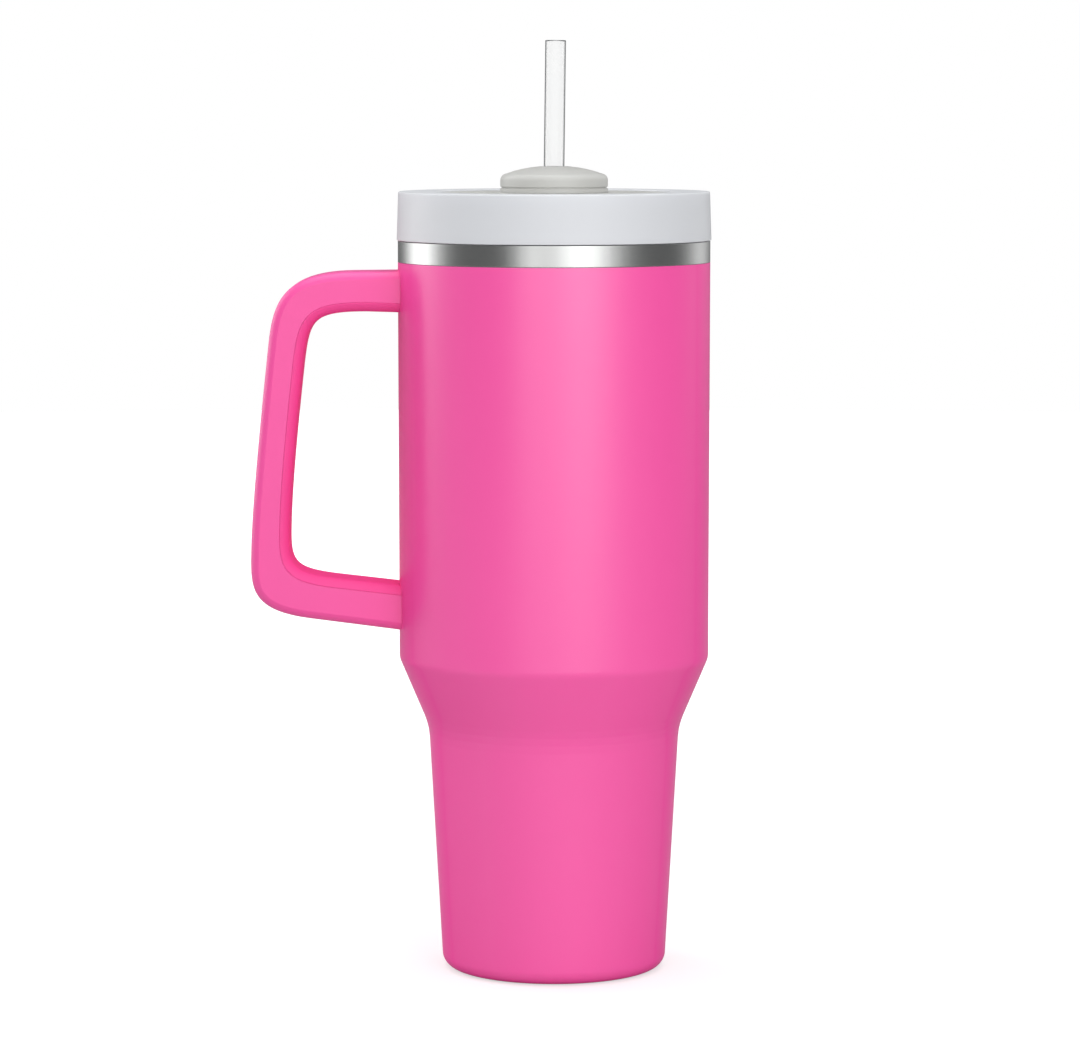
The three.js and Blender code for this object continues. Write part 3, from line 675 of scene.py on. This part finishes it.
# ---------------------------------------------------------------- the lid
def lid_shell():
    """The lid: tall skirt, flat rim, recessed floor with the sip port and vent, and the plug below."""
    floor_under = LID_FLOOR - 2.2
    skirt_bore = 48.6
    plug_r, plug_bore, plug_bottom = 44.0, 42.2, LID_LOW.z
    groove_low, groove_high, groove_r = 233.0, 236.6, 43.0
    corners = [
        (skirt_bore, LID_BOTTOM, 0.25),
        (LID_BOTTOM_R, LID_BOTTOM, 0.3),
        (49.83, LID_TOP, 0.45),
        (RECESS_R, LID_TOP, 0.4),
        (RECESS_R, LID_FLOOR, 0.3),
        (HUB_HOLE_R, LID_FLOOR, 0.15),
        (HUB_HOLE_R, floor_under, 0.15),
        (plug_bore, floor_under, 0.8),
        (plug_bore, plug_bottom, 0.5),
        (plug_r, plug_bottom, 0.6),
        (plug_r, groove_low, 0.1),
        (groove_r, groove_low),
        (groove_r, groove_high),
        (plug_r, groove_high, 0.1),
        (plug_r, RIM_Z + 0.5, 0.5),
        (skirt_bore, RIM_Z + 0.5, 0.5),
    ]
    lid = lathe("lid_shell", rounded(corners, step=12.0), 256)
    above = LID_FLOOR + 1.5
    track = sector(*TRACK, VENT_DEG, COVER_TURN + LUG_HALF + LUG_PLAY, 0.6, 40)
    mark_distance, mark_r = 43.6, 0.55
    marks = [prism(circle(*polar(mark_distance, PORT_DEG + turn), mark_r, 24), LID_TOP - 0.25, LID_TOP + 1)
             for turn in (-COVER_TURN, 0.0, COVER_TURN)]
    carve(lid, [
        prism(sector(*PORT[:2], PORT_DEG, PORT[2]), floor_under - 1, above),
        prism(circle(*polar(VENT_DISTANCE, VENT_DEG), VENT_R, 32), floor_under - 1, above),
        prism(track, TRACK_FLOOR, above),
        *marks,
    ])
    return settle(lid, "lid", "frosted_lid", frosted_lid, "lid_body")


def mouth_gasket():
    """The sealing ring round the lid's plug, with two soft lips."""
    low, high = GASKET_LOW.z, GASKET_HIGH.z
    root, lip, inner = 44.3, GASKET_HIGH.x, 43.3
    corners = [
        (inner, low), (root, low, 0.2),
        (lip, low + 0.75, 0.2), (lip - 0.1, low + 1.15, 0.15),
        (root, (low + high) / 2 + 0.05, 0.3),
        (lip, high - 0.65, 0.2), (lip - 0.1, high - 0.25, 0.15),
        (root, high, 0.1), (inner, high),
    ]
    return settle(lathe("mouth_gasket", rounded(corners)), "lid", "silicone", soft_silicone, "lid_gasket")


def port_ring():
    """The soft seal round the sip port, a rounded frame set in the lid's floor."""
    top = low_high("sip_port_seal")[1].z
    outer = sector(PORT[0] - 2.4, PORT[1] + 2.4, PORT_DEG, PORT[2] + 4.6, 2.2)
    inner = sector(PORT[0] - 1.2, PORT[1] + 1.2, PORT_DEG, PORT[2] + 2.3, 1.7)
    count = len(outer)
    levels = [(outer, 0.0, LID_FLOOR), (outer, 0.0, top - 0.12), (outer, 0.5, top),
              (inner, -0.5, top), (inner, 0.0, top - 0.12), (inner, 0.0, LID_FLOOR)]
    middle = Vector(polar((PORT[0] + PORT[1]) / 2, PORT_DEG))
    verts = []
    for outline, inset, z in levels:
        for p in outline:
            towards = (middle - Vector(p)).normalized() * inset * 0.5
            verts.append((p[0] + towards.x, p[1] + towards.y, z))
    faces = []
    for a in range(len(levels)):
        b = (a + 1) % len(levels)
        for k in range(count):
            n = (k + 1) % count
            faces.append((a * count + k, a * count + n, b * count + n, b * count + k))
    return settle(new_piece("port_ring", verts, faces), "lid", "silicone", soft_silicone, "sip_port_seal")


# ---------------------------------------------------------------- the rotating cover
def cover_plate():
    """The disc that turns in the recess, with its sip window, vent, grip ridge and hub."""
    hub_bottom = DISC_LOW.z
    corners = [
        (HUB_BORE_R, hub_bottom, 0.2),
        (HUB_R, hub_bottom, 0.5),
        (HUB_R, 242.9, 0.1),
        (HUB_R - 0.8, 242.9),
        (HUB_R - 0.8, 244.7),
        (HUB_R, 244.7, 0.1),
        (HUB_R, DISC_BOTTOM, 0.1),
        (DISC_R, DISC_BOTTOM, 0.2),
        (DISC_R, DISC_TOP, 0.35),
        (HUB_BORE_R, DISC_TOP, 0.2),
    ]
    plate = lathe("cover_plate", rounded(corners, step=15.0))
    window = PORT_DEG - COVER_TURN
    carve(plate, [
        prism(sector(*PORT[:2], window, PORT[2]), DISC_BOTTOM - 1, DISC_TOP + 1),
        prism(circle(*polar(VENT_DISTANCE, VENT_DEG), VENT_R, 32), DISC_BOTTOM - 1, DISC_TOP + 1),
    ])
    ridge = sector(19.2, DISC_R - 3.0, window + 180, 3.0, 0.7)
    lug = sector(TRACK[0] + 0.3, TRACK[1] - 0.3, VENT_DEG, LUG_HALF, 0.3)
    carve(plate, [
        prism(ridge, DISC_TOP - 0.5, DISC_TOP + 0.3),
        prism(lug, TRACK_FLOOR + 0.4, DISC_BOTTOM + 0.5),
    ], "UNION")
    return settle(plate, "cover", "grey_cover", turret_plastic, "rotary_cover")


def turret_cap():
    """The crowned turret: a fine groove near its foot, softly rounded shoulders, and the straw's exit."""
    crown = 49.0
    crown_z = TURRET_TOP + 0.16 - crown
    corner = 2.1
    roof = [(r, crown_z + math.sqrt(crown**2 - r * r)) for r in (12.5, 10.0, 7.5)]
    side_corner = (TURRET_R, crown_z + math.sqrt(crown**2 - TURRET_R**2))
    exit_r = STRAW_R + 0.75
    exit_z = crown_z + math.sqrt(crown**2 - exit_r**2)
    base = DISC_TOP + 0.02
    groove_low, groove_high, groove_r = 251.95, 252.55, TURRET_R - 0.4
    inside = TURRET_R - 2.0
    collar_r = 7.5
    corners = [
        (inside, base), (TURRET_R, base, 0.15),
        (TURRET_R, groove_low, 0.12), (groove_r, groove_low + 0.07),
        (groove_r, groove_high - 0.07), (TURRET_R, groove_high, 0.12),
        (*side_corner, corner), *roof,
        (exit_r, exit_z, 0.5), (exit_r, TURRET_TOP - 2.0),
        (HUB_BORE_R, TURRET_TOP - 2.0), (HUB_BORE_R, base), (collar_r, base),
        (collar_r, TURRET_TOP - 2.2), (inside - 1.5, TURRET_TOP - 4.2), (inside, TURRET_TOP - 6.0),
    ]
    cap = lathe("turret_cap", rounded(corners, step=6.0))
    return settle(cap, "cover", "grey_cover", turret_plastic, "cover_turret")


def straw_sleeve():
    """The soft sleeve in the hub, with two thin lips that wipe the straw."""
    bore = STRAW_R + 0.42
    low, high = SLEEVE_LOW.z, SLEEVE_HIGH.z
    outer = 5.6
    flange_top = low + 1.3
    relief = bore + 0.4
    corners = [
        (relief, low, 0.2), (SLEEVE_HIGH.x, low, 0.3), (SLEEVE_HIGH.x, flange_top, 0.3),
        (outer, flange_top), (outer, high, 0.2), (relief, high, 0.2),
        (relief, high - 1.6), (bore, high - 2.0, 0.1), (bore, high - 2.4, 0.1), (relief, high - 2.8),
        (relief, low + 2.8), (bore, low + 2.4, 0.1), (bore, low + 2.0, 0.1), (relief, low + 1.6),
    ]
    sleeve = lathe("straw_sleeve", rounded(corners, step=18.0), 96)
    return settle(sleeve, "cover", "silicone", soft_silicone, "straw_grommet")


def clip_ring():
    """The open spring ring under the lid's floor."""
    low, high = low_high("retaining_clip")
    inner, outer, half = 8.6, 12.0, 150.0
    ring = new_piece("clip_ring", *prism(sector(inner, outer, 90.0, half, 0.6, 60), low.z, high.z))
    return settle(ring, "cover", "clip_plastic", clip_plastic, "retaining_clip")


def straw_tube():
    """The clear tube, its ends slightly rounded, leaning a little in its sleeve."""
    length = (STRAW_HIGH.z - TURRET_TOP) / math.cos(STRAW_LEAN)
    below = (TURRET_TOP - STRAW_LOW.z) / math.cos(STRAW_LEAN)
    inner = STRAW_R - STRAW_WALL
    end_strip = 0.25
    rows = 24
    sides = [-below + (length + below) * k / rows for k in range(1, rows)]
    corners = [(inner, -below, 0.2), (STRAW_R, -below, 0.2), *[(STRAW_R, z) for z in sides],
               (STRAW_R, length, 0.2), (inner, length, 0.2), *[(inner, z) for z in reversed(sides)]]
    tube = lathe("straw_tube", rounded(corners, step=30.0), 96)
    outer_wall = tube.data.attributes.new(OUTER_WALL, "FLOAT", "POINT")
    cut_end = tube.data.attributes.new(CUT_END, "FLOAT", "POINT")
    middle = (STRAW_R + inner) / 2
    for v in tube.data.vertices:
        x, z = v.co.x, v.co.z
        outer_wall.data[v.index].value = math.hypot(x, v.co.y) > middle * MM
        at_end = z > (length - end_strip) * MM or z < (end_strip - below) * MM
        cut_end.data[v.index].value = CUT_END_SHADE * at_end
        v.co.x = x * math.cos(STRAW_LEAN) + z * math.sin(STRAW_LEAN)
        v.co.z = z * math.cos(STRAW_LEAN) - x * math.sin(STRAW_LEAN) + TURRET_TOP * MM
    return settle(tube, "straw", "clear_straw", straw_plastic, "straw")


# ---------------------------------------------------------------- hidden CAD pieces
def paint_nodes(paint, *nodes):
    for node in nodes:
        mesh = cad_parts[node].data
        mesh.materials.clear()
        mesh.materials.append(paint)


# ---------------------------------------------------------------- floor, light and camera
FLOOR_GAP = 0.02
FLOOR_GREY = (0.5, 0.5, 0.5)
FLOOR_GLOW = (0.6, 1.0)  # near the cup and far from it
FLOOR_FADE = (0.3, 1.2)  # metres from the cup's axis over which the glow changes
WORLD_FILL = 0.2
OVERHEAD = 2.15
PANEL_DISTANCE = 2.6  # metres, as are the panels' heights
PANEL_HEIGHT = 2.4
PANEL_DEG = 7.5
SOFT_LIGHTS = (  # direction and spread in degrees, and radiance
    (-17, 12, 1.6),  # a strip a little left of the camera
    (20, 24, 3.2),  # the key light, right of the camera
    (133, 20, 1.0),  # behind on the right
    (246, 20, 3.1),  # behind on the left
)
CAMERA_PLACE = (-0.0045, -1.3765, 0.281)
CAMERA_DOWN_DEG = 5.692
LENS = 143.13


def floor():
    """A wide pale disc that fades into the white surroundings."""
    made = lathe("floor", [(r, -FLOOR_GAP) for r in (0.0, 400.0, 2500.0)], 64, closed=False)
    material, tree, shader = node_material("floor_paint")
    coords = tree.nodes.new("ShaderNodeTexCoord").outputs["Object"]
    shader.inputs["Base Color"].default_value = (*FLOOR_GREY, 1)
    tree.links.new(spread(tree, noise(tree, coords, 3.0), 0.85, 0.95), shader.inputs["Roughness"])
    distance = tree.nodes.new("ShaderNodeVectorMath")
    distance.operation = "LENGTH"
    tree.links.new(coords, distance.inputs[0])
    glow = tree.nodes.new("ShaderNodeEmission")
    seen = tree.nodes.new("ShaderNodeLightPath")
    strength = tree.nodes.new("ShaderNodeMath")
    strength.operation = "MULTIPLY"
    tree.links.new(seen.outputs["Is Camera Ray"], strength.inputs[0])
    tree.links.new(spread(tree, distance.outputs["Value"], *FLOOR_GLOW, *FLOOR_FADE), strength.inputs[1])
    tree.links.new(strength.outputs[0], glow.inputs["Strength"])
    both = tree.nodes.new("ShaderNodeAddShader")
    tree.links.new(shader.outputs[0], both.inputs[0])
    tree.links.new(glow.outputs[0], both.inputs[1])
    tree.links.new(both.outputs[0], tree.nodes["Material Output"].inputs["Surface"])
    made.data.materials.append(material)


def lamp(name, width, height, radiance):
    data = bpy.data.lights.new(name, "AREA")
    data.shape = "RECTANGLE"
    data.size = width
    data.size_y = height
    data.energy = radiance * math.pi * width * height
    made = bpy.data.objects.new(name, data)
    made.visible_camera = False
    bpy.context.scene.collection.objects.link(made)
    return made


def radiance(degrees):
    """How bright the ring of panels is in a direction, from the camera's side round by +X."""
    total = 0.0
    for direction, width, strength in SOFT_LIGHTS:
        off = (degrees - direction + 180) % 360 - 180
        total += strength * math.exp(-(off / width)**2)
    return total


def lights():
    """A ring of upright panels that blend into a few soft lights, and one panel overhead."""
    width = 2 * PANEL_DISTANCE * math.tan(math.radians(PANEL_DEG) / 2)
    for k in range(round(360 / PANEL_DEG)):
        a = math.radians(k * PANEL_DEG)
        made = lamp(f"panel_{k}", width, PANEL_HEIGHT, radiance(k * PANEL_DEG))
        x, y = PANEL_DISTANCE * math.sin(a), -PANEL_DISTANCE * math.cos(a)
        made.location = (x, y, PANEL_HEIGHT / 2 + 0.01)
        made.rotation_euler = (math.radians(90), 0, a)
    above = lamp("overhead", PANEL_HEIGHT, PANEL_HEIGHT, OVERHEAD)
    above.location.z = PANEL_HEIGHT


def surroundings():
    """White to the camera, and a dim grey room to everything else."""
    world = bpy.data.worlds.new("studio")
    world.use_nodes = True
    tree = world.node_tree
    room = tree.nodes["Background"]
    room.inputs["Color"].default_value = (0.98, 0.99, 1.0, 1)
    room.inputs["Strength"].default_value = WORLD_FILL
    white = tree.nodes.new("ShaderNodeBackground")
    white.inputs["Color"].default_value = (1, 1, 1, 1)
    seen = tree.nodes.new("ShaderNodeLightPath")
    pick = tree.nodes.new("ShaderNodeMixShader")
    tree.links.new(seen.outputs["Is Camera Ray"], pick.inputs[0])
    tree.links.new(room.outputs[0], pick.inputs[1])
    tree.links.new(white.outputs[0], pick.inputs[2])
    tree.links.new(pick.outputs[0], tree.nodes["World Output"].inputs["Surface"])
    bpy.context.scene.world = world


def camera():
    """A long lens level with the lid and looking slightly down, a little to the left of the cup's axis."""
    data = bpy.data.cameras.new("camera")
    data.sensor_width = 36.0
    data.lens = LENS
    data.clip_start = 0.05
    data.clip_end = 60.0
    made = bpy.data.objects.new("camera", data)
    made.location = CAMERA_PLACE
    made.rotation_euler = (math.radians(90 - CAMERA_DOWN_DEG), 0, 0)
    bpy.context.scene.collection.objects.link(made)
    bpy.context.scene.camera = made


# ---------------------------------------------------------------- assembly
camera()
surroundings()
lights()
floor()

coated_wall()
steel_cup()
foot_pad()
handle_frame()
handle_insert()
for arm in ("top", "bottom"):
    screw_cover(arm)
lid_shell()
mouth_gasket()
port_ring()
cover_plate()
turret_cap()
straw_sleeve()
clip_ring()
straw_tube()

paint_nodes(heat_foil, "heat_foil")
paint_nodes(sintered_grey, "getter")
paint_nodes(soft_silicone, "hub_seal")
paint_nodes(plain_steel, "bottom_plate", "vacuum_seal_bead", "bracket_top", "bracket_bottom",
            "screw_top", "screw_bottom")

bpy.context.scene.view_settings.view_transform = "Standard"
